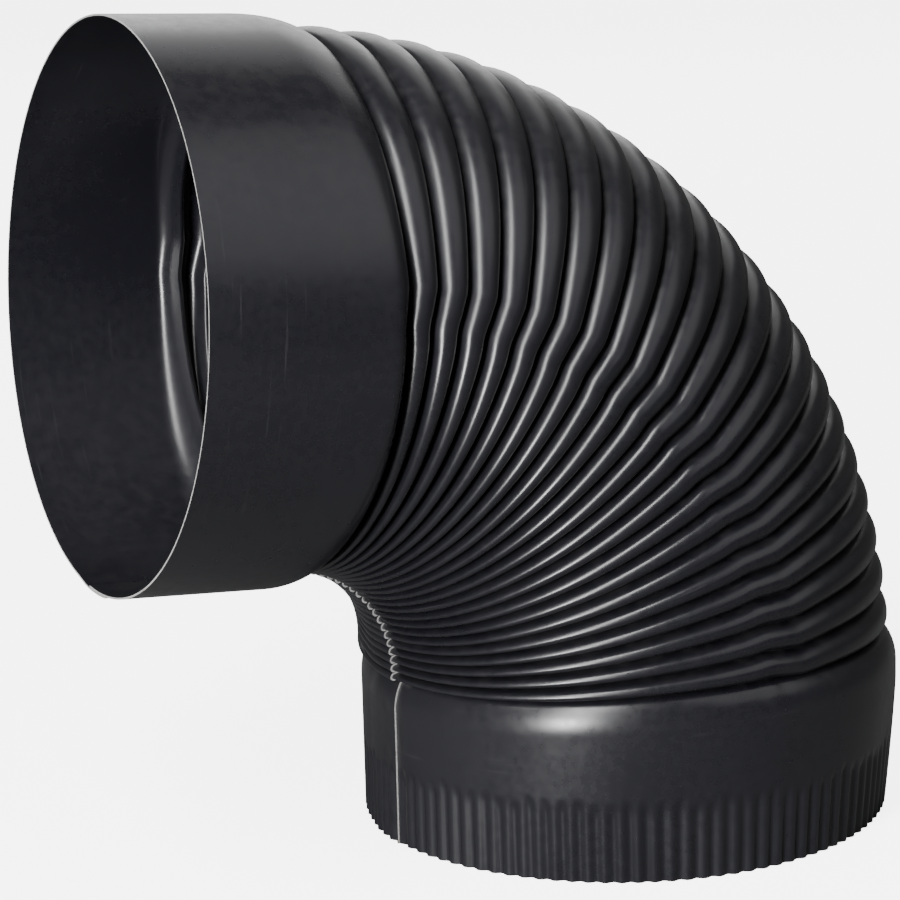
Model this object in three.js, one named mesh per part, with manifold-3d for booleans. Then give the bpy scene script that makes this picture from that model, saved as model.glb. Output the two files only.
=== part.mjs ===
// Corrugated 86 degree flue elbow, 6 inch size: one rolled and lapped steel sheet.
// The collar (inlet) opens towards -X, the crimped spigot (outlet) opens towards -Z and the
// part stands on the spigot's rim. Millimetres, +Z up.
import * as THREE from 'three';
import { mergeVertices } from 'three/addons/utils/BufferGeometryUtils.js';
import Module from 'manifold-3d';

const wasm = await Module();
wasm.setup();

const { clamp, degToRad, lerp, smoothstep } = THREE.MathUtils;

// Driving dimensions
const SHEET = 0.5; // 26 gauge sheet
const COLLAR_RADIUS = 77; // outside, to slip over 6 inch pipe
const SPIGOT_RADIUS = 76.4; // outside, above the crimp
const TURN = degToRad(85.6);
const BEND_RADIUS = 115.2; // centre line of the bend
const COLLAR_STRAIGHT = 47.5; // from the rim to where the centre line starts to turn
const SPIGOT_STRAIGHT = 41.8;
const ZONE_GAP = 0.3; // left between one zone of the sheet and the next

// Pleats of the bend. The stack of pleats starts and ends at these turns of the centre line.
const PLEAT_COUNT = 21;
const HEEL_STACK = [degToRad(2.1), degToRad(83.5)];
const THROAT_STACK = [degToRad(8.4), degToRad(79.8)];
const HEEL_GROWTH = 0.06; // the heel's pleats get this much wider from end to end
const SIDE_LEAN = degToRad(3.4); // the last pleats lean this much more on the +Y side
const HEEL_RIDGE = { radius: 74.1, slope: -0.1, waist: -0.6 };
const THROAT_RIDGE = { radius: 75.1, slope: -1.9, waist: -2.4 };
const HEEL_DEPTH = 3.7; // ridge to valley on the outside of the bend
const THROAT_DEPTH = 5.8; // ridge to valley on the inside of the bend
const RIDGE_FULLNESS = 2.2; // 2 is a parabola, more is a flatter ridge
const FOOT_AT = 0.22; // where the rows beside a valley lie, as a part of the pleat
const BEND_COLUMNS = 22; // around the duct, besides the columns of the lap
const COLLAR_SHOULDER = { heel: 18, throat: 12, side: 0.45 }; // side is a part of their mean
const SPIGOT_SHOULDER = 9; // where the spigot rolls into the first valley
const SHOULDER_END = 0.96; // how much of a quarter ellipse the shoulder is

// Crimp of the spigot
const FLUTE_COUNT = 104;
const FLUTE_DEPTH = 1.3;
const CRIMP_HEIGHT = 23;
const CRIMP_RADIUS = 74.8; // over the flutes at the rim
const CRIMP_OFFSET = 1.8; // the crimped rim lies this much nearer the throat
const SWELL_HEIGHT = 36; // where the spigot is at its full radius
const CRIMP_TAPER = 0.36; // part of the taper that is left at the top of the crimp

// Lap seam, a little to the -Y side of the throat, and its spot welds
const HALF_FLUTE = Math.PI / FLUTE_COUNT;
const SEAM_ANGLE = Math.PI + degToRad(5.3);
const LAP_ANGLE = 5 * HALF_FLUTE;
const JOGGLE_ANGLE = 4 * HALF_FLUTE; // the outer lap climbs over the inner one here
const LAP_CLEARANCE = 0.35;
const LAP_RISE = SHEET + LAP_CLEARANCE;
const WELD_RADIUS = 1.4;
const WELD_CLEARANCE = 0.3;
const WELD_RECESS = 0.3; // under either face of the lap
const WELD_SINK = 0.1; // the plug's middle lies this far under the inner lap's outer face
const WELD_SIDES = 12;
const WELD_INSET = 5; // from the free edge of the outer lap
const WELD_STATIONS = [5, 25.5, 39]; // from the rim of the collar or the spigot

const BEND_LENGTH = BEND_RADIUS * TURN;
const DUCT_LENGTH = SPIGOT_STRAIGHT + BEND_LENGTH + COLLAR_STRAIGHT;
const MITRE_LIMIT = 2.6;

// A point at a distance along the centre line and at a radius. Angle 0 is the heel of the
// bend and PI is its throat; +Y is at PI / 2.
function ductPoint(along, angle, radius) {
  const bent = clamp((along - SPIGOT_STRAIGHT) / BEND_RADIUS, 0, TURN);
  const outward = new THREE.Vector3(Math.cos(bent), 0, Math.sin(bent));
  const onward = new THREE.Vector3(-Math.sin(bent), 0, Math.cos(bent));
  const straight = along - SPIGOT_STRAIGHT - bent * BEND_RADIUS;
  return new THREE.Vector3(-BEND_RADIUS, 0, SPIGOT_STRAIGHT)
    .addScaledVector(outward, BEND_RADIUS + radius * Math.cos(angle))
    .addScaledVector(onward, straight)
    .add(new THREE.Vector3(0, radius * Math.sin(angle), 0));
}

function throatShare(angle) {
  return (1 - Math.cos(angle)) / 2;
}

// How much farther the wall runs than the centre line, in the bend
function wallStretch(angle) {
  return (BEND_RADIUS + SPIGOT_RADIUS * Math.cos(angle)) / BEND_RADIUS;
}

// The turn of the centre line at a part of the pleat stack
function stackTurn(part, angle) {
  const heelPart = part - HEEL_GROWTH * part * (1 - part);
  const heel = lerp(HEEL_STACK[0], HEEL_STACK[1], heelPart);
  const throat = lerp(THROAT_STACK[0], THROAT_STACK[1], part);
  const lean = SIDE_LEAN * part ** 3 * smoothstep(Math.sin(angle), 0, 1);
  return lerp(heel, throat, throatShare(angle)) + lean;
}

function ridgeRadius(part, angle) {
  const across = 2 * part - 1;
  const [heel, throat] = [HEEL_RIDGE, THROAT_RIDGE].map(
    ({ radius, slope, waist }) => radius + slope * across + waist * (1 - across ** 2),
  );
  return lerp(heel, throat, throatShare(angle));
}

function valleyRadius(part, angle) {
  return ridgeRadius(part, angle) - lerp(HEEL_DEPTH, THROAT_DEPTH, throatShare(angle));
}

// Moves a profile of [along, radius] points inward by one sheet, with mitred corners. The
// two end points stay in their end planes.
function insideOf(profile) {
  return profile.map(([along, radius], i) => {
    const before = profile[Math.max(i - 1, 0)];
    const after = profile[Math.min(i + 1, profile.length - 1)];
    const normals = [[before, [along, radius]], [[along, radius], after]]
      .map(([a, b]) => new THREE.Vector2(a[1] - b[1], b[0] - a[0]))
      .filter((normal) => normal.lengthSq() > 0)
      .map((normal) => normal.normalize());
    if (normals.length === 1) {
      return [along, radius - SHEET * Math.min(1 / normals[0].y, MITRE_LIMIT)];
    }
    const mean = normals[0].clone().add(normals[1]).normalize();
    const mitre = Math.min(1 / mean.dot(normals[0]), MITRE_LIMIT);
    return [along - mean.x * SHEET * mitre, radius - mean.y * SHEET * mitre];
  });
}

// A closed skin over columns of points that stand side by side round the duct, each with an
// outer and an inner run of points from one end of the sheet to the other. A ring joins its
// last column to its first; a strip is closed along both of its free edges.
function sheetSolid(columns, isRing) {
  const count = columns.length;
  const rows = columns[0].outer.length;
  const positions = columns
    .flatMap((column) => [...column.outer, ...column.inner])
    .flatMap((point) => point.toArray());
  const at = (side, row, column) => ((column % count) * 2 + side) * rows + row;
  const faces = [];
  const quad = (a, b, c, d) => faces.push(a, b, c, a, c, d);
  const spans = isRing ? count : count - 1;
  const last = rows - 1;
  for (let c = 0; c < spans; c += 1) {
    for (let r = 0; r < last; r += 1) {
      quad(at(0, r, c), at(0, r, c + 1), at(0, r + 1, c + 1), at(0, r + 1, c));
      quad(at(1, r, c), at(1, r + 1, c), at(1, r + 1, c + 1), at(1, r, c + 1));
    }
    quad(at(0, 0, c), at(1, 0, c), at(1, 0, c + 1), at(0, 0, c + 1));
    quad(at(0, last, c), at(0, last, c + 1), at(1, last, c + 1), at(1, last, c));
  }
  if (!isRing) {
    const edge = count - 1;
    for (let r = 0; r < last; r += 1) {
      quad(at(0, r, 0), at(0, r + 1, 0), at(1, r + 1, 0), at(1, r, 0));
      quad(at(0, r, edge), at(1, r, edge), at(1, r + 1, edge), at(0, r + 1, edge));
    }
  }
  const geometry = new THREE.BufferGeometry();
  geometry.setAttribute('position', new THREE.Float32BufferAttribute(positions, 3));
  geometry.setIndex(faces);
  return geometry;
}

function toManifold(geometry) {
  const bare = geometry.clone();
  bare.deleteAttribute('normal');
  bare.deleteAttribute('uv');
  const merged = mergeVertices(bare, 1e-4);
  return new wasm.Manifold(new wasm.Mesh({
    numProp: 3,
    vertProperties: new Float32Array(merged.attributes.position.array),
    triVerts: new Uint32Array(merged.index.array),
  }));
}

function toGeometry(solid) {
  const mesh = solid.getMesh();
  const geometry = new THREE.BufferGeometry();
  geometry.setAttribute('position', new THREE.BufferAttribute(mesh.vertProperties, 3));
  geometry.setIndex(new THREE.BufferAttribute(mesh.triVerts, 1));
  return geometry;
}

// The sheet is walked from the outer lap's free edge in the throat, round the +Y side, the
// heel and the -Y side, to the inner lap's free edge under the outer lap.
function lapRise(walked) {
  const left = LAP_ANGLE + JOGGLE_ANGLE - walked;
  return LAP_RISE * smoothstep(left, 0, JOGGLE_ANGLE);
}

// One column of the wall. profileAt gives [wall distance, radius] points and alongAt turns
// a wall distance into a distance along the centre line.
function wallColumn(walked, profileAt, alongAt, innerRise) {
  const angle = SEAM_ANGLE - walked;
  const profile = profileAt(angle);
  const place = (rise) => ([wall, radius]) =>
    ductPoint(alongAt(wall, angle), angle, radius + rise);
  return {
    outer: profile.map(place(lapRise(walked))),
    inner: insideOf(profile).map(place(innerRise)),
  };
}

// The zone rolls over a shoulder into the valley beside it. The shares run from the zone's
// side of the shoulder, 0, to the valley, 1.
function shoulder(valley, radius, valleyWall, length, shares) {
  return shares.map((share) => [
    valleyWall - length * (1 - share),
    valley + (radius - valley) * Math.sqrt(1 - (SHOULDER_END * share) ** 2),
  ]);
}

// Wall distances of the spigot are counted from its rim, and so are those of the collar.
function spigotAlong(wall, angle) {
  const beyond = Math.max(wall - SPIGOT_STRAIGHT, 0);
  return wall - beyond + beyond / wallStretch(angle);
}

function collarAlong(wall, angle) {
  const beyond = Math.max(wall - COLLAR_STRAIGHT, 0);
  return DUCT_LENGTH - (wall - beyond + beyond / wallStretch(angle));
}

function spigotProfile(angle) {
  const wall = SPIGOT_STRAIGHT + stackTurn(0, angle) * BEND_RADIUS * wallStretch(angle);
  const flute = (Math.cos(FLUTE_COUNT * (SEAM_ANGLE - angle)) - 1) / 2;
  const rim = CRIMP_RADIUS - CRIMP_OFFSET * Math.cos(angle);
  const valley = valleyRadius(0, angle);
  return [
    [0, rim + flute * FLUTE_DEPTH],
    [CRIMP_HEIGHT, lerp(SPIGOT_RADIUS, rim, CRIMP_TAPER)],
    [SWELL_HEIGHT, SPIGOT_RADIUS],
    ...shoulder(valley, SPIGOT_RADIUS, wall - ZONE_GAP / 2, SPIGOT_SHOULDER, [0, 0.6, 1]),
  ];
}

function collarProfile(angle) {
  const turnLeft = TURN - stackTurn(1, angle);
  const wall = COLLAR_STRAIGHT + turnLeft * BEND_RADIUS * wallStretch(angle);
  const valley = valleyRadius(1, angle);
  const { heel, throat, side } = COLLAR_SHOULDER;
  const length = lerp(heel, throat, throatShare(angle)) * lerp(1, side, Math.sin(angle) ** 2);
  return [
    [0, COLLAR_RADIUS],
    ...shoulder(valley, COLLAR_RADIUS, wall - ZONE_GAP / 2, length, [0, 0.5, 0.8, 1]),
  ];
}

function bendProfile(angle) {
  const shares = [0, FOOT_AT, 0.5, 1 - FOOT_AT];
  const wallAt = (part) => stackTurn(part, angle) * BEND_RADIUS * wallStretch(angle);
  const profile = [];
  for (let pleat = 0; pleat < PLEAT_COUNT; pleat += 1) {
    for (const share of shares) {
      const part = (pleat + share) / PLEAT_COUNT;
      const height = 1 - Math.abs(2 * share - 1) ** RIDGE_FULLNESS;
      const radius = lerp(valleyRadius(part, angle), ridgeRadius(part, angle), height);
      profile.push([wallAt(part), radius]);
    }
  }
  profile.push([wallAt(1), valleyRadius(1, angle)]);
  profile[0][0] += ZONE_GAP / 2;
  profile[profile.length - 1][0] -= ZONE_GAP / 2;
  return profile;
}

function bendAlong(wall, angle) {
  return SPIGOT_STRAIGHT + wall / wallStretch(angle);
}

function walkSteps(step) {
  const end = 2 * Math.PI + LAP_ANGLE;
  const count = Math.round(end / step);
  return Array.from({ length: count + 1 }, (_, i) => (i * end) / count);
}

// A zone rolled into a strip whose two laps overlap with a clearance
function spigotStrip() {
  const walk = walkSteps(HALF_FLUTE).reverse();
  return sheetSolid(
    walk.map((walked) => wallColumn(walked, spigotProfile, spigotAlong, lapRise(walked))),
    false,
  );
}

function collarStrip() {
  const walk = walkSteps(4 * HALF_FLUTE);
  return sheetSolid(
    walk.map((walked) => wallColumn(walked, collarProfile, collarAlong, lapRise(walked))),
    false,
  );
}

// The two laps are pressed together in the bend, so that the wall is one ring there, thicker
// at the lap and with a step at the free edge of the outer lap.
function pleatedRing() {
  const edgeStep = SHEET / COLLAR_RADIUS;
  const lapEnd = LAP_ANGLE + JOGGLE_ANGLE;
  const rest = 2 * Math.PI - edgeStep - lapEnd;
  const walk = [0, LAP_ANGLE / 2, LAP_ANGLE, lapEnd];
  for (let i = 1; i <= BEND_COLUMNS; i += 1) {
    walk.push(lapEnd + (rest * i) / BEND_COLUMNS);
  }
  walk.reverse();
  return sheetSolid(walk.map((walked) => wallColumn(walked, bendProfile, bendAlong, 0)), true);
}

// A plug of the given radius that stands square to the wall, through both laps
function weldPlug(along, wallRadius, radius, length) {
  const angle = SEAM_ANGLE - WELD_INSET / COLLAR_RADIUS;
  const middle = ductPoint(along, angle, wallRadius - WELD_SINK);
  const inward = ductPoint(along, angle, 0).sub(middle).normalize();
  const plug = new THREE.CylinderGeometry(radius, radius, length, WELD_SIDES);
  const turn = new THREE.Quaternion().setFromUnitVectors(new THREE.Vector3(0, 1, 0), inward);
  plug.applyQuaternion(turn);
  plug.translate(middle.x, middle.y, middle.z);
  return plug;
}

function cutWeldHoles(geometry, welds) {
  let solid = toManifold(geometry);
  for (const { along, wallRadius } of welds) {
    const hole = weldPlug(along, wallRadius, WELD_RADIUS + WELD_CLEARANCE, 6 * LAP_RISE);
    solid = solid.subtract(toManifold(hole));
  }
  return toGeometry(solid);
}

const collarWelds = WELD_STATIONS.map((fromRim) => ({
  along: DUCT_LENGTH - fromRim,
  wallRadius: COLLAR_RADIUS,
}));
const spigotWelds = WELD_STATIONS.map((fromRim) => ({
  along: fromRim,
  wallRadius: SPIGOT_RADIUS,
}));

const paintedSteel = { color: 0x3a3b3f, roughness: 0.42, metalness: 0.35 };
const weldSteel = { color: 0x2c2d30, roughness: 0.6, metalness: 0.5 };
const elbow = new THREE.Group();

function addPart(name, geometry, look) {
  const mesh = new THREE.Mesh(geometry, new THREE.MeshStandardMaterial(look));
  mesh.name = name;
  elbow.add(mesh);
}

addPart('inlet_collar', cutWeldHoles(collarStrip(), collarWelds), paintedSteel);
addPart('pleated_bend', pleatedRing(), paintedSteel);
addPart('crimped_spigot', cutWeldHoles(spigotStrip(), spigotWelds), paintedSteel);

const weldLength = 2 * SHEET + LAP_CLEARANCE - 2 * WELD_RECESS;
for (const [zone, welds] of [['collar', collarWelds], ['spigot', spigotWelds]]) {
  welds.forEach(({ along, wallRadius }, i) => {
    const plug = weldPlug(along, wallRadius, WELD_RADIUS, weldLength);
    addPart(`${zone}_weld_${i + 1}`, plug, weldSteel);
  });
}

// The origin is under the middle of the whole part.
const extent = new THREE.Box3().setFromObject(elbow);
elbow.position.x = -(extent.min.x + extent.max.x) / 2;

export default elbow;
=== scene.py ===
# %% [markdown]
# # A corrugated flue elbow
# The real elbow is one sheet of black painted steel. It is rolled into a tube, lapped and
# spot-welded along a seam, pleated until it turns through 86 degrees, and crimped at one end
# so that it slips into the next pipe. This lesson makes it in the same order: flat blanks
# are cut first, and every later step only moves their vertices, as the rollers do.

# %% Load the frame
import math
import bmesh
import bpy
import numpy as np
from mathutils import Matrix, Vector


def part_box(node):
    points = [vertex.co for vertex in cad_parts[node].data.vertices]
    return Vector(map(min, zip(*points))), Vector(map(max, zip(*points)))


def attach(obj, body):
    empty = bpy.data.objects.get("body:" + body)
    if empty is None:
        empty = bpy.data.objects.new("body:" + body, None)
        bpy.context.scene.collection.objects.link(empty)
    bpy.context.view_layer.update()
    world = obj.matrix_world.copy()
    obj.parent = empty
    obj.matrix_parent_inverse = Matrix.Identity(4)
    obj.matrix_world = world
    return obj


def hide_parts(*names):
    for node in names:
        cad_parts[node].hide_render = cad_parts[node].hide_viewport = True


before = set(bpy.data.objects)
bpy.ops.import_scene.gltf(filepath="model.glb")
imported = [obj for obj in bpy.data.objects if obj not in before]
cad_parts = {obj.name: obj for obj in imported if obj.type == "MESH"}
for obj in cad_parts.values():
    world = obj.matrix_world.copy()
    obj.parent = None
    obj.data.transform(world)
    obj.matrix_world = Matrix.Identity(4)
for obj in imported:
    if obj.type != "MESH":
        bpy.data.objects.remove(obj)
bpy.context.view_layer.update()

# %% [markdown]
# ## Sizes
# Metres, with +Z up. What the frame can tell is measured from it; the rest are the sizes
# that the elbow is made to. The duct's centre line starts at the spigot's rim, runs straight
# up, turns towards -X and ends at the collar's rim. Angle 0 round the duct is the heel, the
# outside of the bend, and half a turn from it is the throat.

# %% Sizes
collar_low, collar_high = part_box("inlet_collar")
spigot_low, spigot_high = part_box("crimped_spigot")
COLLAR_RADIUS = min(collar_high[1], -collar_low[1])
SPIGOT_RADIUS = 0.0764
SPIGOT_AXIS_X = spigot_high[0] - SPIGOT_RADIUS
SHEET = 0.0005
TURN = math.radians(85.6)
BEND_RADIUS = 0.1152
COLLAR_STRAIGHT = 0.0475
SPIGOT_STRAIGHT = 0.0418
DUCT_LENGTH = SPIGOT_STRAIGHT + BEND_RADIUS * TURN + COLLAR_STRAIGHT
PLEATS = 21
print("collar radius", round(COLLAR_RADIUS, 5), "spigot axis at x", round(SPIGOT_AXIS_X, 5))

# %% [markdown]
# ## The camera
# A long lens from the collar's side, a little above the object. The camera is placed by its
# direction and distance from a point in the bend, and then rolled a little.

# %% Camera
AIM = np.array([SPIGOT_AXIS_X - 0.0618, 0.0, 0.110])
CAMERA_AZIMUTH = math.radians(-24.32)
CAMERA_ELEVATION = math.radians(13.74)
CAMERA_ROLL = math.radians(-1.75)
CAMERA_DISTANCE = 1.0466
LENS = 151.77
FILM_WIDTH = 36
FRAME_SHIFT = (0.0282, -0.0004)

towards_camera = np.array([
    math.sin(CAMERA_AZIMUTH) * math.cos(CAMERA_ELEVATION),
    -math.cos(CAMERA_AZIMUTH) * math.cos(CAMERA_ELEVATION),
    math.sin(CAMERA_ELEVATION),
])
level_right = np.array([math.cos(CAMERA_AZIMUTH), math.sin(CAMERA_AZIMUTH), 0.0])
level_up = np.cross(towards_camera, level_right)


def face_along(thing, place, away, right, up):
    """Stands a camera or a lamp at a place with its back to `away`."""
    turned = np.eye(4)
    turned[:3, 0], turned[:3, 1], turned[:3, 2], turned[:3, 3] = right, up, away, place
    thing.matrix_world = Matrix(turned.tolist())


camera_data = bpy.data.cameras.new("camera")
camera_data.lens = LENS
camera_data.sensor_width = FILM_WIDTH
camera_data.shift_x, camera_data.shift_y = FRAME_SHIFT
camera = bpy.data.objects.new("camera", camera_data)
bpy.context.scene.collection.objects.link(camera)
face_along(
    camera, AIM + CAMERA_DISTANCE * towards_camera, towards_camera,
    level_right * math.cos(CAMERA_ROLL) + level_up * math.sin(CAMERA_ROLL),
    level_up * math.cos(CAMERA_ROLL) - level_right * math.sin(CAMERA_ROLL))
bpy.context.scene.camera = camera
print("camera at", np.array(camera.matrix_world.translation).round(3))

# %% [markdown]
# ## Where a point of the sheet goes
# Each point of a blank has two numbers. `walk` is the angle walked round the duct from the
# free edge of the outer lap in the throat, over the +Y side, the heel and the -Y side, to
# the free edge of the inner lap. `row` counts along the duct: 0 to 1 is the spigot, then
# each pleat takes 1, and the last 1 is the collar. The functions below turn them into a
# place, in arrays, because the sheet has many thousands of points.

# %% The duct's line
def duct_point(along, angle, radius):
    """Places at distance along the centre line, at an angle from the heel, and a radius."""
    bent = np.clip((along - SPIGOT_STRAIGHT) / BEND_RADIUS, 0, TURN)
    straight = along - SPIGOT_STRAIGHT - bent * BEND_RADIUS
    reach = BEND_RADIUS + radius * np.cos(angle)
    x = SPIGOT_AXIS_X - BEND_RADIUS + reach * np.cos(bent) - straight * np.sin(bent)
    z = SPIGOT_STRAIGHT + reach * np.sin(bent) + straight * np.cos(bent)
    return np.stack([x, radius * np.sin(angle), z], axis=-1)


def mix(a, b, share):
    return a + (b - a) * share


def smooth(share):
    share = np.clip(share, 0, 1)
    return share * share * (3 - 2 * share)


def throat_share(angle):
    return (1 - np.cos(angle)) / 2


def wall_stretch(angle):
    """How much farther the wall runs than the centre line, in the bend."""
    return (BEND_RADIUS + SPIGOT_RADIUS * np.cos(angle)) / BEND_RADIUS


print("the collar's mouth is centred on", duct_point(DUCT_LENGTH, 0.0, 0.0).round(4))

# %% [markdown]
# ## The stack of pleats
# The pleats are pressed one after another, and the machine doesn't share the turn out quite
# evenly: the stack starts and ends later in the throat than at the heel, the last pleats of
# the heel are the widest, the last ones lean towards the collar on the +Y side, and the
# throat draws in towards the collar.

# %% Pleat stations and radii
HEEL_STACK = (math.radians(2.1), math.radians(83.5))
THROAT_STACK = (math.radians(8.4), math.radians(79.8))
HEEL_GROWTH = 0.06
SIDE_LEAN = math.radians(3.4)
HEEL_RIDGE = (0.0741, -0.0001, -0.0006)
THROAT_RIDGE = (0.0751, -0.0019, -0.0024)
HEEL_DEPTH = 0.0037
THROAT_DEPTH = 0.0058


def stack_turn(part, angle):
    """The turn of the centre line at a part of the stack."""
    heel = mix(*HEEL_STACK, part - HEEL_GROWTH * part * (1 - part))
    lean = SIDE_LEAN * part ** 3 * smooth(np.sin(angle))
    return mix(heel, mix(*THROAT_STACK, part), throat_share(angle)) + lean


def ridge_radius(part, angle):
    across = 2 * part - 1
    heel, throat = (radius + slope * across + waist * (1 - across ** 2)
                    for radius, slope, waist in (HEEL_RIDGE, THROAT_RIDGE))
    return mix(heel, throat, throat_share(angle))


def valley_radius(part, angle):
    return ridge_radius(part, angle) - mix(HEEL_DEPTH, THROAT_DEPTH, throat_share(angle))


middle_ridges = [float(ridge_radius(0.5, angle)) for angle in (0, math.pi)]
print("middle ridge's radius at the heel and the throat", np.round(middle_ridges, 4))

# %% [markdown]
# ## One pleat
# No metal is lost in the bend, so the pleats are shallow and wide at the heel and deep and
# tight in the throat. At the heel a pleat is a broad ridge between sharp valleys. In the
# throat it is a narrow loop, with round turns and straight walls. The press closes from the
# heel's side and from the throat's, and leaves a knee in every pleat where its jaws meet,
# nearer the heel on the -Y side than on the other.

# %% Pleat shape
ROWS_PER_PLEAT = 16
TURN_SHARE = 3 / ROWS_PER_PLEAT
WALL_SHARE = 2 / ROWS_PER_PLEAT
TURN_HEIGHT = 0.12
VALLEY_CROWDING = 0.11
VALLEY_ROUND = 0.19
LOOP_ONSET = 4
KNEE_CALM = 4
KNEE_ANGLES = (math.radians(77), math.radians(85.5))
KNEE = (0.0010, 0.0012)
KNEE_ROUND = 0.0015
KNEE_TO_HEEL = 0.016
KNEE_TO_THROAT = 0.0045
COLLAR_KNEE = 0.7
COLLAR_KNEE_REACH = 0.006
SECOND_KNEE = (0.011, 0.0035, 0.4)


def loop_share(angle):
    """How far a pleat has turned from a broad ridge into a narrow loop."""
    return throat_share(angle) ** LOOP_ONSET


def heel_pleat(part):
    """(place along the pleat, height), both 0 to 1, on the outside of the bend."""
    bump = np.sin(np.pi * part)
    rounded = np.hypot(bump, VALLEY_ROUND) - VALLEY_ROUND
    height = rounded / (math.hypot(1, VALLEY_ROUND) - VALLEY_ROUND)
    return part - VALLEY_CROWDING * np.sin(2 * np.pi * part), height


def throat_pleat(part):
    """The same on the inside of the bend: a quarter turn, a wall and a quarter turn."""
    folded = np.minimum(part, 1 - part)
    low = np.clip(folded / TURN_SHARE, 0, 1) * np.pi / 2
    wall = np.clip((folded - TURN_SHARE) / WALL_SHARE, 0, 1)
    high = np.clip((folded - TURN_SHARE - WALL_SHARE) / TURN_SHARE, 0, 1) * np.pi / 2
    place = (np.sin(low) + 1 - np.cos(high)) / 4
    height = TURN_HEIGHT * (1 - np.cos(low) + np.sin(high)) + (1 - 2 * TURN_HEIGHT) * wall
    return np.where(part < 0.5, place, 1 - place), height


def past_knee(angle):
    """Distance round the wall from the line where the jaws meet, towards the throat."""
    round_from_heel = np.abs(np.arctan2(np.sin(angle), np.cos(angle)))
    knee = np.where(np.sin(angle) < 0, KNEE_ANGLES[0], KNEE_ANGLES[1])
    return (round_from_heel - knee) * SPIGOT_RADIUS


def knee_shift(part, angle):
    """How far a pleat is pushed towards the spigot near the line where the jaws meet."""
    past = past_knee(angle)
    away = np.hypot(past, KNEE_ROUND) - KNEE_ROUND
    to_heel = np.exp(-away / KNEE_TO_HEEL) * np.exp(-(past / (2 * KNEE_TO_HEEL)) ** 2)
    to_throat = np.exp(-away / KNEE_TO_THROAT)
    place, reach, gain = SECOND_KNEE
    second = gain * np.exp(-((past - place) / reach) ** 2)
    return mix(*KNEE, part) * (np.where(past < 0, to_heel, to_throat) - second)


def pleat_height(row, angle):
    """Height over the valley, 0 to 1; the collar and the spigot count as ridge."""
    part = np.clip(row - FIRST_PLEAT, 0, PLEATS) % 1
    height = mix(heel_pleat(part)[1], throat_pleat(part)[1], loop_share(angle))
    return np.where((row < FIRST_PLEAT) | (row > LAST_PLEAT), 1.0, height)


def pleated(row, angle):
    """(distance along the duct, radius) in the bend, where row counts pleats."""
    number = np.floor(row)
    share = loop_share(angle)
    heel_place, heel_height = heel_pleat(row - number)
    throat_place, throat_height = throat_pleat(row - number)
    part = (number + mix(heel_place, throat_place, share)) / PLEATS
    height = mix(heel_height, throat_height, share)
    radius = mix(valley_radius(part, angle), ridge_radius(part, angle), height)
    calm = smooth(KNEE_CALM * row)
    calm = calm * mix(COLLAR_KNEE, 1, smooth(KNEE_CALM * (PLEATS - row)))
    along = SPIGOT_STRAIGHT + stack_turn(part, angle) * BEND_RADIUS
    return along - calm * knee_shift(part, angle) / wall_stretch(angle), radius


# %% [markdown]
# ## Collar and spigot
# Both roll over a soft shoulder into the nearest valley, the collar more softly at the heel
# and in the throat than at its sides, where it also takes up a little of the knee. Beyond
# that the collar is a plain cylinder. The spigot swells a little below its shoulder and is
# then crimped: narrow grooves are pressed in between broad lands, deeper towards the rim,
# and no two start at quite the same height. The crimping wheels leave the rim a little
# nearer the throat than the rest of the spigot.

# %% Collar and spigot shape
COLLAR_SHOULDER = (0.018, 0.012)
SIDE_SHOULDER = 0.30
SPIGOT_SHOULDER = 0.009
SHOULDER_END = 0.97
FLUTES = 104
FLUTE_DEPTH = 0.0011
LAND_FULLNESS = 0.7
PRESS_AT_TOP = 0.75
CRIMP_STRAY = ((0.0007, 2.1, 0), (0.0005, 5.3, 1))
CRIMP_HEIGHT = 0.0235
CRIMP_FADE = 0.004
CRIMP_RADIUS = 0.0748
CRIMP_OFFSET = 0.0018
SWELL_HEIGHT = 0.036
TAPER_CURVE = 1.2
PINCH_PLACE = 0.011
PINCH_DEPTH = 0.0007
PINCH_REACH = 0.0045
PINCH_WAVE = 0.011
PINCH_EASE = 0.001
SEAM_ANGLE = math.pi + math.radians(5.3)


def shoulder_radius(from_valley, length, valley, radius):
    share = np.clip(1 - from_valley / length, 0, 1)
    return valley + (radius - valley) * np.sqrt(1 - (SHOULDER_END * share) ** 2)


def collared(share, angle):
    """(distance along the duct, radius) in the collar, from the last valley to its rim."""
    turn_left = TURN - stack_turn(1.0, angle)
    wall_end = COLLAR_STRAIGHT + turn_left * BEND_RADIUS * wall_stretch(angle)
    wall = (1 - share) * wall_end
    beyond = np.clip(wall - COLLAR_STRAIGHT, 0, None)
    along = DUCT_LENGTH - (wall - beyond + beyond / wall_stretch(angle))
    push = COLLAR_KNEE * smooth(1 - (wall_end - wall) / COLLAR_KNEE_REACH)
    along = along - push * knee_shift(1.0, angle) / wall_stretch(angle)
    valley = valley_radius(1.0, angle)
    length = mix(*COLLAR_SHOULDER, throat_share(angle))
    length = length * mix(1, SIDE_SHOULDER, np.sin(angle) ** 2)
    return along, shoulder_radius(wall_end - wall, length, valley, COLLAR_RADIUS)


def flute_groove(wall, angle):
    """Depth of the crimp's grooves at a height over the rim."""
    turn = (SEAM_ANGLE - angle) * FLUTES / (2 * np.pi)
    stray = sum(size * np.sin(turn * pace + phase) for size, pace, phase in CRIMP_STRAY)
    press = smooth((CRIMP_HEIGHT + stray - wall) / CRIMP_FADE)
    press = press * mix(1, PRESS_AT_TOP, wall / CRIMP_HEIGHT)
    land = (1 + np.cos(2 * np.pi * turn)) / 2
    return press * FLUTE_DEPTH * (1 - land ** LAND_FULLNESS)


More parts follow.
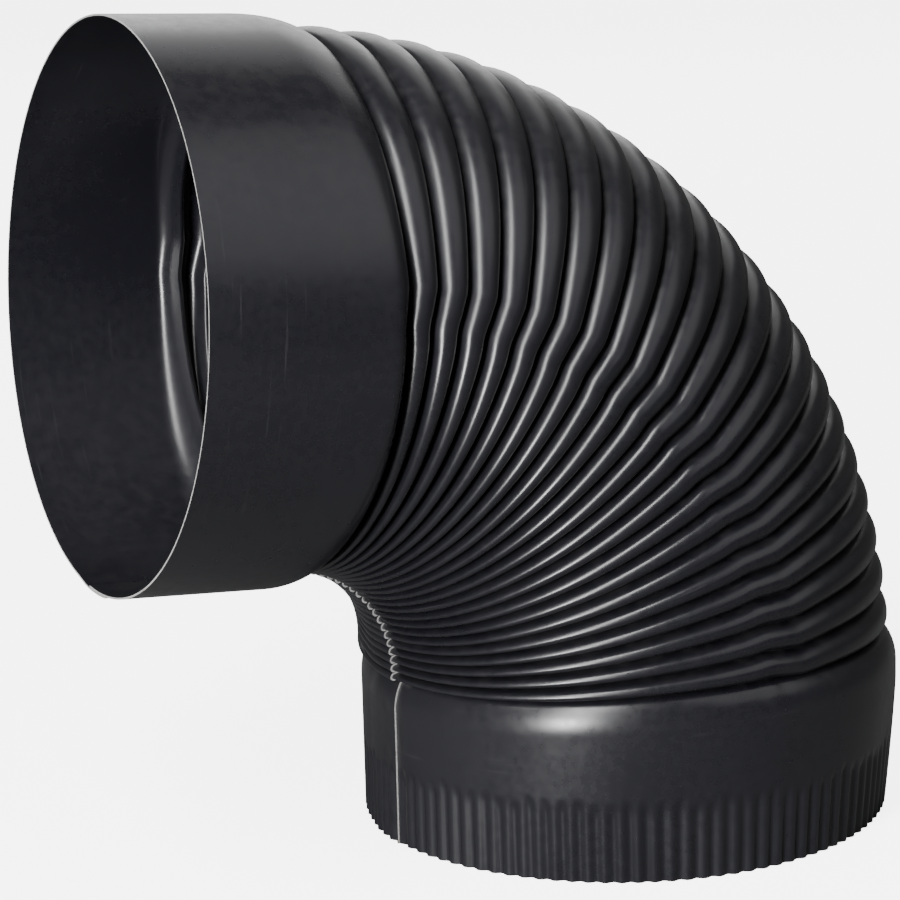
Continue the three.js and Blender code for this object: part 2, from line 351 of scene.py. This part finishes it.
def jaw_pinch(from_valley, angle):
    """Depth of the two dents that the jaws leave in the spigot's shoulder."""
    past = past_knee(angle) - PINCH_PLACE
    crease = np.sin(np.pi * past / PINCH_WAVE) ** 2 * np.exp(-(past / PINCH_REACH) ** 2)
    return PINCH_DEPTH * crease * smooth(1 - from_valley / SPIGOT_SHOULDER)


def crimped(share, angle):
    """(distance along the duct, radius) in the spigot, from its rim to the first valley."""
    wall_end = SPIGOT_STRAIGHT + stack_turn(0.0, angle) * BEND_RADIUS * wall_stretch(angle)
    wall = share * wall_end
    beyond = np.clip(wall - SPIGOT_STRAIGHT, 0, None)
    along = wall - beyond + beyond / wall_stretch(angle)
    rim = CRIMP_RADIUS - CRIMP_OFFSET * np.cos(angle)
    left = np.clip(1 - wall / SWELL_HEIGHT, 0, 1)
    taper = (SPIGOT_RADIUS - rim) * left ** TAPER_CURVE
    valley = valley_radius(0.0, angle)
    body = shoulder_radius(wall_end - wall, SPIGOT_SHOULDER, valley, SPIGOT_RADIUS)
    pinch = jaw_pinch(wall_end - wall, angle) * smooth((wall_end - wall) / PINCH_EASE)
    return along, body - taper - flute_groove(wall, angle) - pinch


print(FLUTES, "flutes,", round(2000 * math.pi * CRIMP_RADIUS / FLUTES, 2), "mm apart")

# %% [markdown]
# ## The lap, the welds and the thickness
# The outer lap climbs over the inner one by one sheet, along the surface's own normal, so
# that the two nest in every pleat. Each spot weld leaves a shallow dimple in both laps.

# %% Surface of the rolled sheet
LAP = 5 * math.pi / FLUTES
JOGGLE = 4 * math.pi / FLUTES
LAP_RISE = SHEET + 0.00005
WELD_INSET = 0.005
WELD_STATIONS = (0.005, 0.0255, 0.039)
DIMPLE_RADIUS = 0.0019
DIMPLE_DEPTH = 0.00014
DIMPLE_EDGE = 3
FIRST_PLEAT = 1
LAST_PLEAT = FIRST_PLEAT + PLEATS
NUDGE = 1e-4


def outer_face(walk, row):
    """Places on the outside of the sheet, before the lap lifts it."""
    angle = SEAM_ANGLE - walk
    spigot = crimped(np.clip(row, 0, 1), angle)
    bend = pleated(np.clip(row - FIRST_PLEAT, 0, PLEATS), angle)
    collar = collared(np.clip(row - LAST_PLEAT, 0, 1), angle)
    zone = [row < FIRST_PLEAT, row > LAST_PLEAT]
    along = np.select(zone, [spigot[0], collar[0]], bend[0])
    radius = np.select(zone, [spigot[1], collar[1]], bend[1])
    return duct_point(along, angle, radius)


def unit(vectors):
    return vectors / np.linalg.norm(vectors, axis=-1, keepdims=True)


def weld_dimples(walk, row):
    """How far the welds press the outer lap in, 0 to 1."""
    throat_wall = wall_stretch(math.pi)
    spigot_wall = SPIGOT_STRAIGHT + THROAT_STACK[0] * BEND_RADIUS * throat_wall
    collar_wall = COLLAR_STRAIGHT + (TURN - THROAT_STACK[1]) * BEND_RADIUS * throat_wall
    from_rim = np.where(row < FIRST_PLEAT, row * spigot_wall,
                        (LAST_PLEAT + 1 - row) * collar_wall)
    pressed = np.zeros_like(walk)
    for station in WELD_STATIONS:
        distance = np.hypot(from_rim - station, walk * COLLAR_RADIUS - WELD_INSET)
        pressed = np.maximum(pressed, np.exp(-(distance / DIMPLE_RADIUS) ** DIMPLE_EDGE))
    return pressed


def place_sheet(walk, row, side):
    """side is 0 on the outside of the sheet and 1 on its inside."""
    across = outer_face(walk + NUDGE, row) - outer_face(walk - NUDGE, row)
    onward = outer_face(walk, row + NUDGE) - outer_face(walk, row - NUDGE)
    normal = unit(np.cross(onward, across))
    rise = LAP_RISE * smooth((LAP + JOGGLE - walk) / JOGGLE)
    lift = rise - SHEET * side - DIMPLE_DEPTH * weld_dimples(walk, row)
    return outer_face(walk, row) + normal * lift[:, None]


# %% [markdown]
# ## Cutting and forming a blank
# A blank could be drawn point by point, but a grid that is given its thickness while it is
# still flat has exact walls and clean cut edges. The grid is square and even; `crowded`
# then says where its lines go, closer together where the metal is worked hardest. Solidify
# leaves the rim's faces in no fixed order, so all the faces are sorted by place.

# %% Blanks
STATIONS = 6000
FACE_ORDER = Vector((1, 1e3, 1e8))


def crowded(count, low, high, crowds):
    """count + 1 values from low to high, denser near each (middle, reach, gain)."""
    places = np.linspace(low, high, STATIONS)
    density = np.ones(STATIONS)
    for middle, reach, gain in crowds:
        density += gain * np.exp(-((places - middle) / reach) ** 2)
    total = np.concatenate([[0], np.cumsum((density[1:] + density[:-1]) / 2)])
    return np.interp(np.linspace(0, total[-1], count + 1), total, places)


def cut_blank(columns, rows, joined):
    """A flat slab, one unit square and one sheet thick, with a grid of columns by rows.

    joined says whether its low and its high end run on into the next zone, so that only
    the other edges are cut metal.
    """
    blank = bmesh.new()
    bmesh.ops.create_grid(blank, x_segments=columns, y_segments=rows, size=0.5)
    bmesh.ops.solidify(blank, geom=blank.faces[:], thickness=SHEET)
    bmesh.ops.recalc_face_normals(blank, faces=blank.faces[:])
    blank.faces.sort(key=lambda face: face.calc_center_median().dot(FACE_ORDER))
    for face in blank.faces:
        face.smooth = True
        is_rim = abs(face.normal.z) < 0.5
        is_join = (joined[0] and face.normal.y < -0.5) or (joined[1] and face.normal.y > 0.5)
        # Rim faces take the second slot: bare steel with a painted glint.
        face.material_index = 1 if is_rim and not is_join else 0
    for edge in blank.edges:
        edge.smooth = edge.calc_face_angle() < 1
    return blank


def add_point_values(mesh, name, values):
    layer = mesh.attributes.new(name, "FLOAT", "POINT")
    layer.data.foreach_set("value", values.astype(float))


def form_sheet(name, walks, rows, replaced):
    """Cuts a blank, rolls and forms it, and lets it stand for its CAD node."""
    joined = (rows[0] >= FIRST_PLEAT, rows[-1] <= LAST_PLEAT)
    blank = cut_blank(len(walks) - 1, len(rows) - 1, joined)
    mesh = bpy.data.meshes.new(name)
    blank.to_mesh(mesh)
    blank.free()
    flat = np.empty(len(mesh.vertices) * 3)
    mesh.vertices.foreach_get("co", flat)
    flat = flat.reshape(-1, 3)
    walk = walks[np.rint((flat[:, 0] + 0.5) * (len(walks) - 1)).astype(int)]
    row = rows[np.rint((flat[:, 1] + 0.5) * (len(rows) - 1)).astype(int)]
    middle = (flat[:, 2].min() + flat[:, 2].max()) / 2
    side = (flat[:, 2] < middle).astype(float)
    places = place_sheet(walk, row, side)
    places[:, 2] = np.clip(places[:, 2], 0, None)
    mesh.vertices.foreach_set("co", places.ravel())

    corner = np.empty(len(mesh.loops), dtype=int)
    mesh.loops.foreach_get("vertex_index", corner)
    bend_end = DUCT_LENGTH - COLLAR_STRAIGHT
    height = np.interp(row, [0, FIRST_PLEAT, LAST_PLEAT, LAST_PLEAT + 1],
                       [0, SPIGOT_STRAIGHT, bend_end, DUCT_LENGTH])
    chart = mesh.uv_layers.new(name="blank")
    spots = np.stack([walk * COLLAR_RADIUS, height], axis=-1)[corner]
    chart.data.foreach_set("uv", spots.ravel())
    add_point_values(mesh, "inside", side)
    add_point_values(mesh, "ridge", pleat_height(row, SEAM_ANGLE - walk))
    mesh.update()
    piece = bpy.data.objects.new(name, mesh)
    bpy.context.scene.collection.objects.link(piece)
    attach(piece, "root")
    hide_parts(replaced)
    triangles = sum(len(face.vertices) - 2 for face in mesh.polygons)
    print(name, len(walks), "columns", len(rows), "rows", triangles, "triangles")
    return piece


# %% [markdown]
# ## The three zones
# The collar needs few lines, because it is nearly plain. The bend has the same lines in
# every pleat, and its columns crowd at the seam and at the knees. The spigot has six columns
# for each flute.

# %% The three zones of the sheet
WALK_END = 2 * math.pi + LAP
SEAM_CROWD = (WELD_INSET / COLLAR_RADIUS, 0.05, 2.0)
KNEE_WIDTH, KNEE_REACH, KNEE_GAIN = 0.05, 0.12, 2.4
WELD_ZONE, WELD_REACH, WELD_GAIN = 0.05, 0.05, 1.5
COLLAR_GRID, COLLAR_SHOULDER_CROWD = (240, 44), (1, 0.15, 2.0)
SPIGOT_GRID, SPIGOT_SHOULDER_CROWD = (FLUTES * 6 + 60, 56), (1, 0.15, 1.5)
BEND_COLUMNS = 144

knee_walks = [SEAM_ANGLE - KNEE_ANGLES[1] - KNEE_WIDTH,
              SEAM_ANGLE + KNEE_ANGLES[0] + KNEE_WIDTH]
knee_crowds = [(walk, KNEE_REACH, KNEE_GAIN) for walk in knee_walks]
weld_crowds = [(station / WELD_ZONE, WELD_REACH, WELD_GAIN) for station in WELD_STATIONS]

collar_walks = crowded(COLLAR_GRID[0], 0, WALK_END, [SEAM_CROWD])
collar_rows = crowded(COLLAR_GRID[1], 0, 1, [COLLAR_SHOULDER_CROWD, *weld_crowds])
collar = form_sheet("collar_sheet", collar_walks, LAST_PLEAT + 1 - collar_rows[::-1],
                    "inlet_collar")
bend_walks = crowded(BEND_COLUMNS, 0, WALK_END, [SEAM_CROWD, *knee_crowds])
bend_rows = FIRST_PLEAT + np.linspace(0, PLEATS, PLEATS * ROWS_PER_PLEAT + 1)
bend = form_sheet("bend_sheet", bend_walks, bend_rows, "pleated_bend")
spigot_walks = crowded(SPIGOT_GRID[0], 0, WALK_END, [SEAM_CROWD])
spigot_rows = crowded(SPIGOT_GRID[1], 0, 1, [SPIGOT_SHOULDER_CROWD, *weld_crowds])
spigot = form_sheet("spigot_sheet", spigot_walks, spigot_rows, "crimped_spigot")

# %% [markdown]
# ## Finishes
# The paint is one satin black coat, sprayed on the flat sheet before it is rolled. Its
# texture therefore follows the blank, which the `blank` chart keeps: peel and mottle all
# over, and faint rub marks that run round the duct, the way the sheet went through the
# rollers. Effects that more than one finish could use are node groups of their own.

# %% Helpers for node trees
def add_node(tree, kind, values=None, **settings):
    node = tree.nodes.new(kind)
    for setting, value in settings.items():
        setattr(node, setting, value)
    for socket, value in (values or {}).items():
        node.inputs[socket].default_value = value
    return node


def new_group(name, inputs, outputs):
    """An empty node group with float inputs and the given kinds of outputs."""
    group = bpy.data.node_groups.new(name, "ShaderNodeTree")
    for socket, value in inputs.items():
        made = group.interface.new_socket(socket, in_out="INPUT",
                                          socket_type="NodeSocketFloat")
        made.default_value = value
    for socket, kind in outputs.items():
        group.interface.new_socket(socket, in_out="OUTPUT", socket_type=kind)
    start = group.nodes.new("NodeGroupInput")
    end = group.nodes.new("NodeGroupOutput")
    return group, start, end


def calculate(tree, operation, first, second):
    """First is a socket; second is a socket or a number."""
    result = add_node(tree, "ShaderNodeMath", operation=operation)
    tree.links.new(first, result.inputs[0])
    if isinstance(second, (int, float)):
        result.inputs[1].default_value = second
    else:
        tree.links.new(second, result.inputs[1])
    return result.outputs[0]


def sum_of(tree, first, second):
    return calculate(tree, "ADD", first, second)


def product_of(tree, first, second):
    return calculate(tree, "MULTIPLY", first, second)


def ramped(tree, value, low, high, to_low=0.0, to_high=1.0):
    """A value mapped from low..high, softly, to another range."""
    ramp = add_node(tree, "ShaderNodeMapRange", {
        "From Min": low, "From Max": high, "To Min": to_low, "To Max": to_high,
    }, interpolation_type="SMOOTHSTEP")
    tree.links.new(value, ramp.inputs["Value"])
    return ramp.outputs["Result"]


def noise_of(tree, coordinate, scale, detail, stretch=(1, 1, 1)):
    """Noise over a coordinate, whose features are `stretch` times longer each way."""
    squeeze = add_node(tree, "ShaderNodeMapping")
    squeeze.inputs["Scale"].default_value = [1 / length for length in stretch]
    tree.links.new(coordinate, squeeze.inputs["Vector"])
    noise = add_node(tree, "ShaderNodeTexNoise", {"Scale": scale, "Detail": detail})
    tree.links.new(squeeze.outputs["Vector"], noise.inputs["Vector"])
    return noise.outputs["Fac"]


# %% [markdown]
# ### Paint height
# Sprayed paint dries with a fine orange peel, about a millimetre across and a few
# thousandths deep. Under it the sheet isn't quite flat: rolling leaves soft waves, longer
# round the duct than along it. A bump is enough for both, because neither reaches the
# outline. Heights are in millimetres.

# %% Paint height
def make_paint_height():
    group, start, end = new_group(
        "paint_height", {"Peel Depth": 0.004, "Wave Depth": 0.03},
        {"Height": "NodeSocketFloat"})
    place = add_node(group, "ShaderNodeTexCoord")
    peel = noise_of(group, place.outputs["Object"], 800, 2.0)
    waves = noise_of(group, place.outputs["UV"], 60, 1.0, stretch=(3, 1, 1))
    fine = product_of(group, peel, start.outputs["Peel Depth"])
    broad = product_of(group, waves, start.outputs["Wave Depth"])
    group.links.new(sum_of(group, fine, broad), end.inputs["Height"])
    return group


# %% [markdown]
# ### Rub marks
# The elbow has been rolled, stacked and handled, so its coat carries short, faint streaks
# where it slid on other metal. They are noise stretched along the blank, cut down to thin
# lines, and kept only in patches.

# %% Rub marks
def make_rub_marks():
    group, start, end = new_group("rub_marks", {"Patchiness": 0.56},
                                  {"Marks": "NodeSocketFloat"})
    place = add_node(group, "ShaderNodeTexCoord")
    streaks = noise_of(group, place.outputs["UV"], 900, 3.0, stretch=(26, 1, 1))
    patches = noise_of(group, place.outputs["UV"], 22, 2.0, stretch=(2, 1, 1))
    lines = ramped(group, streaks, 0.60, 0.74)
    above = calculate(group, "SUBTRACT", patches, start.outputs["Patchiness"])
    where = ramped(group, above, -0.06, 0.12)
    group.links.new(product_of(group, lines, where), end.inputs["Marks"])
    return group


# %% [markdown]
# ### Settled dust
# Warehouse dust lies where the wall faces up, and stays longest in the valleys, where no
# hand wipes it off. The mask is the upward part of the surface normal, more in the valleys
# than on the ridges, broken up by noise.

# %% Settled dust
def make_settled_dust():
    group, start, end = new_group("settled_dust", {"Ridge": 1.0},
                                  {"Dust": "NodeSocketFloat"})
    place = add_node(group, "ShaderNodeTexCoord")
    facing = add_node(group, "ShaderNodeNewGeometry")
    split = add_node(group, "ShaderNodeSeparateXYZ")
    group.links.new(facing.outputs["Normal"], split.inputs["Vector"])
    upward = ramped(group, split.outputs["Z"], 0.0, 1.0, 0.15, 1.0)
    sheltered = ramped(group, start.outputs["Ridge"], 0.0, 0.8, 1.0, 0.25)
    specks = ramped(group, noise_of(group, place.outputs["Object"], 260, 5.0), 0.35, 0.7)
    lying = product_of(group, upward, sheltered)
    group.links.new(product_of(group, lying, specks), end.inputs["Dust"])
    return group


# %% [markdown]
# ### Paint mottle
# No sprayed coat is one colour or one gloss: where it went on thicker it is a little
# blacker and glossier. A broad noise with a finer one in it stands for the spray's passes.

# %% Paint mottle
def make_paint_mottle():
    group, start, end = new_group(
        "paint_mottle", {"Thick Roughness": 0.27, "Thin Roughness": 0.36},
        {"Thickness": "NodeSocketFloat", "Roughness": "NodeSocketFloat"})
    place = add_node(group, "ShaderNodeTexCoord")
    passes = noise_of(group, place.outputs["UV"], 14, 4.0, stretch=(1, 2, 1))
    flecks = noise_of(group, place.outputs["Object"], 420, 2.0)
    blend = sum_of(group, product_of(group, passes, 0.75), product_of(group, flecks, 0.25))
    thickness = ramped(group, blend, 0.36, 0.64)
    rough = add_node(group, "ShaderNodeMix", data_type="FLOAT")
    group.links.new(thickness, rough.inputs["Factor"])
    group.links.new(start.outputs["Thin Roughness"], rough.inputs["A"])
    group.links.new(start.outputs["Thick Roughness"], rough.inputs["B"])
    group.links.new(thickness, end.inputs["Thickness"])
    group.links.new(rough.outputs["Result"], end.inputs["Roughness"])
    return group


# %% [markdown]
# ### The painted finish
# The groups come together on one Principled shader. Dust and rub marks lighten the black
# and dull it, and on the crests of the pleats, where other elbows rub in the box, the coat
# is burnished a little smoother.

# %% Painted finish
def new_material(name):
    made = bpy.data.materials.new(name)
    made.use_nodes = True
    return made, made.node_tree, made.node_tree.nodes["Principled BSDF"]


def group_node(tree, group, **values):
    node = tree.nodes.new("ShaderNodeGroup")
    node.node_tree = group
    for socket, value in values.items():
        node.inputs[socket.replace("_", " ")].default_value = value
    return node


def mixed_colour(tree, factor, first, second):
    """First and second are a colour or a socket that gives one."""
    blend = add_node(tree, "ShaderNodeMix", data_type="RGBA")
    tree.links.new(factor, blend.inputs[0])
    for socket, colour in ((blend.inputs[6], first), (blend.inputs[7], second)):
        if isinstance(colour, tuple):
            socket.default_value = colour
        else:
            tree.links.new(colour, socket)
    return blend.outputs[2]


PAINT_THICK = (0.0060, 0.0060, 0.0082, 1)
PAINT_THIN = (0.0090, 0.0090, 0.0114, 1)
RUBBED = (0.060, 0.060, 0.063, 1)
DUST = (0.17, 0.16, 0.15, 1)
DUST_AMOUNT, DUST_DULLS = 0.07, 2.0
RUB_AMOUNT, RUB_DULLS = 0.2, 0.3
BURNISH = -0.02
BUMP_UNIT = 0.001

paint_height = make_paint_height()
rub_marks = make_rub_marks()
settled_dust = make_settled_dust()
paint_mottle = make_paint_mottle()


def make_stove_paint():
    made, tree, skin = new_material("satin_stove_paint")
    ridge = add_node(tree, "ShaderNodeAttribute", attribute_name="ridge")
    mottle = group_node(tree, paint_mottle)
    marks = group_node(tree, rub_marks)
    dust = group_node(tree, settled_dust)
    tree.links.new(ridge.outputs["Fac"], dust.inputs["Ridge"])
    dusty = product_of(tree, dust.outputs["Dust"], DUST_AMOUNT)
    rubbed = product_of(tree, marks.outputs["Marks"], RUB_AMOUNT)

    colour = mixed_colour(tree, mottle.outputs["Thickness"], PAINT_THIN, PAINT_THICK)
    colour = mixed_colour(tree, rubbed, colour, RUBBED)
    colour = mixed_colour(tree, dusty, colour, DUST)
    tree.links.new(colour, skin.inputs["Base Color"])

    duller = sum_of(tree, product_of(tree, dusty, DUST_DULLS),
                    product_of(tree, rubbed, RUB_DULLS))
    burnish = ramped(tree, ridge.outputs["Fac"], 0.8, 1.0, 0.0, BURNISH)
    rough = sum_of(tree, mottle.outputs["Roughness"], sum_of(tree, duller, burnish))
    tree.links.new(rough, skin.inputs["Roughness"])

    height = group_node(tree, paint_height)
    bump = add_node(tree, "ShaderNodeBump", {"Strength": 1.0, "Distance": BUMP_UNIT})
    tree.links.new(height.outputs["Height"], bump.inputs["Height"])
    tree.links.new(bump.outputs["Normal"], skin.inputs["Normal"])
    return made


# %% [markdown]
# ### Sheared edges and their painted glint
# The blank is cut out of painted sheet, so every free edge is bare steel, drawn into fine
# lines across the sheet by the shear's blade, with paint dragged over it in places and the
# first brown of rust in others. The steel's colour is lifted almost to white and kept only
# partly metallic, so that the edges look bright from every side: a painted highlight over
# the steel's own grey.

# %% Sheared steel with a painted glint
# Both steel greys are lifted near white: a painted highlight on the cut edges over the
# steel's real colour.
STEEL_PAINTED_GLINT = (0.78, 0.77, 0.76, 1)
STEEL_GRAIN_PAINTED_GLINT = (0.50, 0.49, 0.48, 1)
RUST = (0.16, 0.085, 0.045, 1)
PAINT_DRAG = 0.35
RUST_AMOUNT = 0.3


def make_steel_edge_with_painted_glint():
    made, tree, skin = new_material("sheared_steel_painted_glint")
    place = add_node(tree, "ShaderNodeTexCoord")
    grain = noise_of(tree, place.outputs["Object"], 2600, 3.0)
    worn = ramped(tree, noise_of(tree, place.outputs["Object"], 170, 4.0), 0.42, 0.62)
    rusty = ramped(tree, noise_of(tree, place.outputs["Object"], 330, 5.0), 0.58, 0.70)
    colour = mixed_colour(tree, ramped(tree, grain, 0.3, 0.7), STEEL_PAINTED_GLINT, STEEL_GRAIN_PAINTED_GLINT)
    colour = mixed_colour(tree, product_of(tree, worn, PAINT_DRAG), colour, PAINT_THIN)
    colour = mixed_colour(tree, product_of(tree, rusty, RUST_AMOUNT), colour, RUST)
    tree.links.new(colour, skin.inputs["Base Color"])
    # Low metallic lets the lifted base colour show from any side, which paints the edges'
    # glint.
    tree.links.new(ramped(tree, worn, 0.0, 1.0, 0.6, 0.3), skin.inputs["Metallic"])
    tree.links.new(ramped(tree, grain, 0.2, 0.8, 0.30, 0.55), skin.inputs["Roughness"])
    return made


paint = make_stove_paint()
# The cut edges' finish: bare steel with a painted glint.
steel_edge_painted_glint = make_steel_edge_with_painted_glint()
for piece in (collar, bend, spigot):
    piece.data.materials.append(paint)
    piece.data.materials.append(steel_edge_painted_glint)
for name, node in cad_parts.items():
    if "weld" in name:
        node.data.materials.clear()
        node.data.materials.append(paint)
print("finishes", paint.name, steel_edge_painted_glint.name)

# %% [markdown]
# ## Floor and light
# The elbow stands on a plain pale floor. Black satin steel shows nothing but what it
# reflects, so the lights are large and soft, and there are few of them: a tall box on the
# left with a small one under it, one overhead, a weaker one on the right and one behind,
# in a room that is otherwise dim. Only the camera sees the floor and the backdrop bright.

# %% Floor
FLOOR_HALF = 6
FLOOR_GLOW = 5
FLOOR_PALE = (0.82, 0.82, 0.82, 1)
FLOOR_PALEST = (0.86, 0.86, 0.86, 1)
FLOOR_BOUNCE = (0.13, 0.13, 0.13, 1)


def make_floor():
    mesh = bpy.data.meshes.new("floor")
    ground = bmesh.new()
    bmesh.ops.create_grid(ground, x_segments=1, y_segments=1, size=FLOOR_HALF)
    ground.to_mesh(mesh)
    ground.free()
    made, tree, skin = new_material("pale_floor")
    place = add_node(tree, "ShaderNodeTexCoord")
    cloud = ramped(tree, noise_of(tree, place.outputs["Object"], 3, 3.0), 0.3, 0.7)
    colour = mixed_colour(tree, cloud, FLOOR_PALE, FLOOR_PALEST)
    ray = add_node(tree, "ShaderNodeLightPath")
    seen = mixed_colour(tree, ray.outputs["Is Camera Ray"], FLOOR_BOUNCE, colour)
    tree.links.new(seen, skin.inputs["Base Color"])
    skin.inputs["Emission Color"].default_value = (1, 1, 1, 1)
    glow = ramped(tree, ray.outputs["Is Camera Ray"], 0.0, 1.0, 0.0, FLOOR_GLOW)
    tree.links.new(glow, skin.inputs["Emission Strength"])
    skin.inputs["Roughness"].default_value = 0.9
    mesh.materials.append(made)
    floor = bpy.data.objects.new("floor", mesh)
    bpy.context.scene.collection.objects.link(floor)


make_floor()


# %% Lights
def softbox(name, azimuth, elevation, distance, size, power):
    """An area light that faces the middle of the bend. Azimuth 0 is towards -Y."""
    turn, lift = math.radians(azimuth), math.radians(elevation)
    away = np.array([math.sin(turn) * math.cos(lift), -math.cos(turn) * math.cos(lift),
                     math.sin(lift)])
    data = bpy.data.lights.new(name, "AREA")
    data.shape = "RECTANGLE"
    data.size, data.size_y = size
    data.energy = power
    lamp = bpy.data.objects.new(name, data)
    lamp.visible_camera = False
    bpy.context.scene.collection.objects.link(lamp)
    side = np.array([math.cos(turn), math.sin(turn), 0.0])
    face_along(lamp, AIM + distance * away, away, side, np.cross(away, side))
    print(name, power, "W at", (AIM + distance * away).round(2))


ROOM_LIGHT = 0.12
BACKDROP = 5.4

softbox("left_box", -51, 32, 1.4, (0.32, 1.9), 56)
softbox("low_box", -53, 2, 1.3, (0.20, 0.4), 20)
softbox("top_box", 148, 42, 1.5, (1.3, 0.8), 3)
softbox("fill_box", 38, 44, 1.8, (1.6, 1.6), 7)
softbox("rear_box", 156, 20, 1.6, (0.9, 0.8), 5)

world = bpy.data.worlds.new("studio")
bpy.context.scene.world = world
world.use_nodes = True
backdrop = world.node_tree.nodes["Background"]
ray = add_node(world.node_tree, "ShaderNodeLightPath")
seen = ramped(world.node_tree, ray.outputs["Is Camera Ray"], 0.0, 1.0, ROOM_LIGHT, BACKDROP)
world.node_tree.links.new(seen, backdrop.inputs["Strength"])
backdrop.inputs["Color"].default_value = (1, 1, 1, 1)
